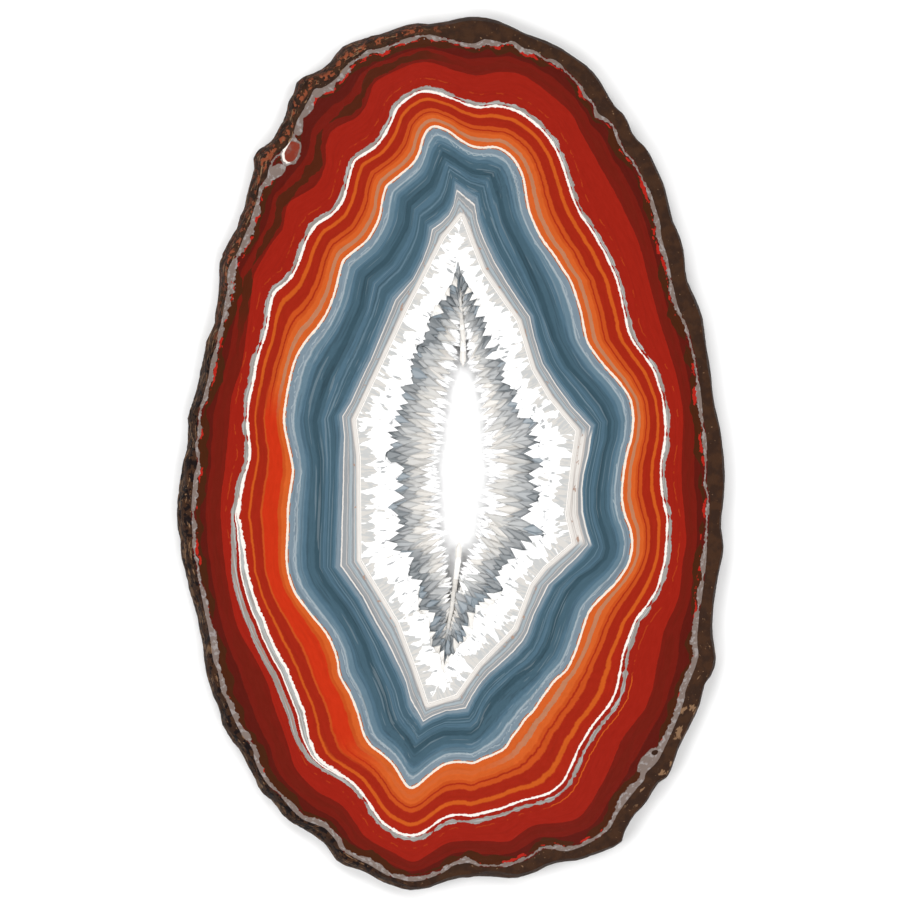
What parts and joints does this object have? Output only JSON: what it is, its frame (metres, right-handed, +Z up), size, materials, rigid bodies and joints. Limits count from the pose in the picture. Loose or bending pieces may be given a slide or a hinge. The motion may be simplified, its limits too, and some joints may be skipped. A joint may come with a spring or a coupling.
{
  "type": "agate slice",
  "caption": "Flat sawn slice of a banded red agate nodule with a rough brown rind and a quartz-lined hollow right through it.",
  "frame": {"origin": "middle of the bounding box on the sawn underside", "axes": "+Z up out of the polished face; +Y along the slice's length, towards its rounder end; +X to the right seen from above"},
  "size_m": [0.075, 0.1198, 0.0065],
  "materials": {
    "banded_agate": "sawn and polished faces, rough natural rind",
    "quartz": "polished where it is sawn, bright crystal faces inside"
  },
  "bodies": {
    "root": {"agate_slice": "banded_agate", "quartz_crust": "quartz"}
  },
  "joints": []
}
